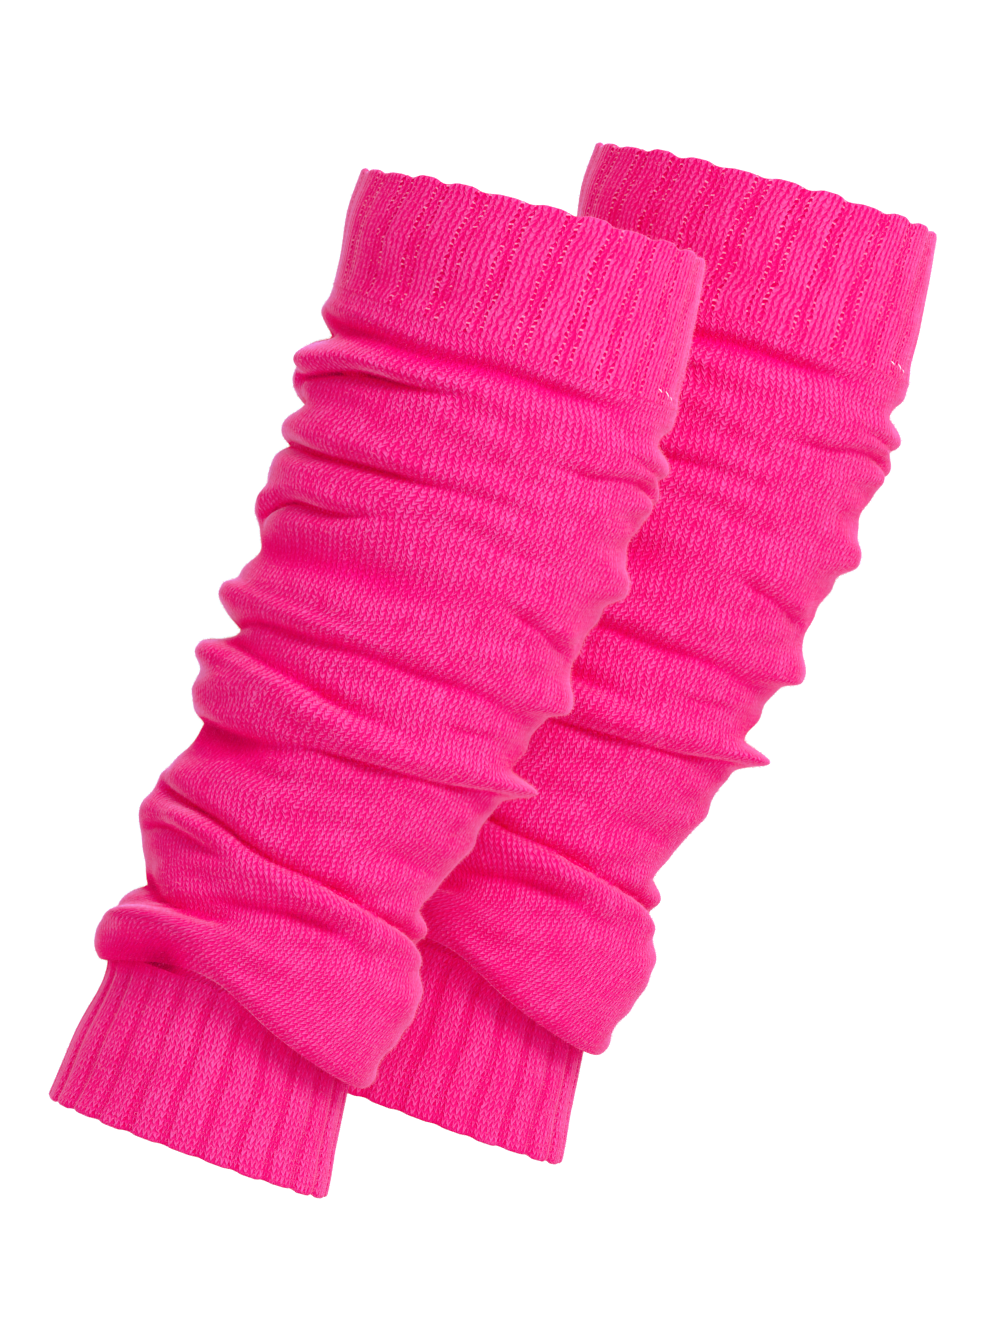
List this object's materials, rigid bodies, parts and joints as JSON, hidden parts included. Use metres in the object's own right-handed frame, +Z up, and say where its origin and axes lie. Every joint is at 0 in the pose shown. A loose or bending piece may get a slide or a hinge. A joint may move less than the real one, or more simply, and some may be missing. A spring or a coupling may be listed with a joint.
{
  "type": "pair of leg warmers",
  "caption": "Pair of hollow knitted leg warmers, leaning side by side, with ribbed cuffs at both ends and a long plain leg slouched into folds, the lowest over the bottom cuff.",
  "frame": {"origin": "where the leg holds the front leg warmer: on its axis, 308 mm up it from the bottom hem, in the middle of its top cuff", "axes": "+Z up, +Y away from the viewer to the back leg warmer, +X to the side that both tubes lean to, 20.1 degrees from +Z"},
  "size_m": [0.2957, 0.234, 0.3499],
  "materials": {
    "plain_knit": "brushed acrylic plain knit, soft and matt with short fuzz",
    "rib_knit": "acrylic rib knit with fine elastic in its grooves"
  },
  "bodies": {
    "root": {"front_top_cuff": "rib_knit", "front_leg": "plain_knit", "front_bottom_cuff": "rib_knit", "back_top_cuff": "rib_knit", "back_leg": "plain_knit", "back_bottom_cuff": "rib_knit"}
  },
  "joints": []
}
